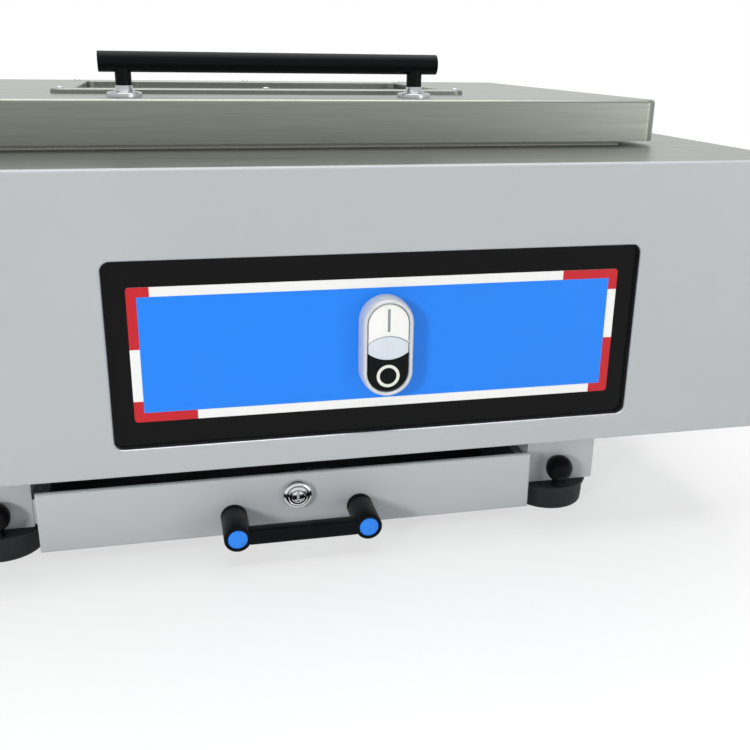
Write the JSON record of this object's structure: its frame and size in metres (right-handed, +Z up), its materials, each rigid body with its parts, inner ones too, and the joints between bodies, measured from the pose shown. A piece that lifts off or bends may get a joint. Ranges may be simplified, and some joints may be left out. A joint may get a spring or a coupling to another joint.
{
  "type": "reflow oven",
  "caption": "Low bench-top reflow oven with a top-loading heated chamber under a hinged lid, a push-button operator panel and a lockable drawer between its feet.",
  "frame": {"origin": "on the bench, under the middle of the oven's box", "axes": "+Z up, the operator panel faces -Y, +X to the operator's right"},
  "size_m": [0.6, 0.471, 0.2935],
  "materials": {
    "panel_grey": "satin",
    "casing_grey": "satin",
    "stainless": "brushed",
    "zinc_steel": "zinc plated",
    "frame_black": "satin",
    "lock_chrome": "polished",
    "gloss_black": "gloss",
    "label_white": "satin",
    "label_blue": "satin",
    "label_red": "satin",
    "bezel_silver": "satin",
    "white_plastic": "gloss",
    "sign_grey": "matt",
    "black_button": "gloss",
    "sign_white": "matt",
    "lens_plastic": "translucent",
    "black_plastic": "matt",
    "blue_plastic": "satin",
    "foot_rubber": "matt",
    "mat_foam": "matt",
    "fibre": "matt",
    "heater_ceramic": "matt",
    "quartz": "clear",
    "sight_pane": "clear",
    "fan_metal": "satin",
    "motor_paint": "satin",
    "board_green": "satin",
    "supply_metal": "satin"
  },
  "bodies": {
    "oven_body": {"front_panel": "panel_grey", "side_frame_left": "casing_grey", "side_frame_right": "casing_grey", "side_panel_left": "casing_grey", "side_panel_right": "casing_grey", "rear_panel": "casing_grey", "chassis_tray": "casing_grey", "top_plate": "stainless", "chamber_liner": "stainless", "operator_plate_fasteners": "zinc_steel", "foot_spindles": "zinc_steel", "hinge_leaves_fixed": "zinc_steel", "drawer_slides_fixed": "zinc_steel", "heat_shield": "zinc_steel", "cooling_fan_guard": "zinc_steel", "board_rack": "zinc_steel", "temperature_probe": "zinc_steel", "lock_strike": "frame_black", "operator_plate": "gloss_black", "label_film": "label_white", "label_field": "label_blue", "label_corner_marks": "label_red", "button_bezel": "bezel_silver", "button_lens": "lens_plastic", "foot_ball_knobs": "black_plastic", "button_switch_unit": "black_plastic", "cooling_fan_frame": "black_plastic", "mains_inlet": "black_plastic", "heater_relays": "black_plastic", "foot_pads": "foot_rubber", "chamber_insulation": "fibre", "chamber_seal": "fibre", "heater_blocks": "heater_ceramic", "heater_tubes": "quartz", "circulating_motor": "motor_paint", "control_board": "board_green", "power_supply": "supply_metal"},
    "lid": {"lid_skin": "stainless", "lid_inner_pan": "stainless", "lid_insulation": "fibre", "sight_glass": "sight_pane", "glass_frame": "stainless", "lid_handle": "black_plastic", "hinge_leaves_lid": "zinc_steel"},
    "drawer": {"drawer_front": "casing_grey", "drawer_box": "frame_black", "drawer_mat": "mat_foam", "drawer_slides_moving": "zinc_steel", "drawer_handle": "black_plastic", "handle_caps": "blue_plastic", "handle_fasteners": "zinc_steel", "lock_housing": "lock_chrome"},
    "lock_barrel": {"lock_plug": "lock_chrome", "lock_cam": "zinc_steel"},
    "on_button": {"on_button": "white_plastic", "on_button_sign": "sign_grey"},
    "off_button": {"off_button": "black_button", "off_button_sign": "sign_white"},
    "circulating_fan": {"circulating_impeller": "fan_metal"},
    "cooling_fan": {"cooling_fan_rotor": "black_plastic"}
  },
  "joints": [
    {"name": "lid_hinge", "type": "hinge", "parent": "oven_body", "child": "lid", "pos_m": [0, 0.2029, 0.2445], "axis": [-1, 0, 0], "range_deg": [0, 75]},
    {"name": "drawer_slide", "type": "slide", "parent": "oven_body", "child": "drawer", "axis": [0, -1, 0], "range_m": [0, 0.2]},
    {"name": "lock_turn", "type": "hinge", "parent": "drawer", "child": "lock_barrel", "pos_m": [0, -0.1881, 0.0323], "axis": [0, -1, 0], "range_deg": [0, 90]},
    {"name": "on_press", "type": "slide", "parent": "oven_body", "child": "on_button", "axis": [0, 1, 0], "range_m": [0, 0.0035], "stiffness_N_per_m": 400},
    {"name": "off_press", "type": "slide", "parent": "oven_body", "child": "off_button", "axis": [0, 1, 0], "range_m": [0, 0.0035], "stiffness_N_per_m": 400},
    {"name": "circulating_fan_spin", "type": "hinge", "parent": "oven_body", "child": "circulating_fan", "pos_m": [0, 0.16, 0.1865], "axis": [0, 1, 0], "continuous": true},
    {"name": "cooling_fan_spin", "type": "hinge", "parent": "oven_body", "child": "cooling_fan", "pos_m": [-0.19, 0.215, 0.1435], "axis": [0, 1, 0], "continuous": true}
  ]
}
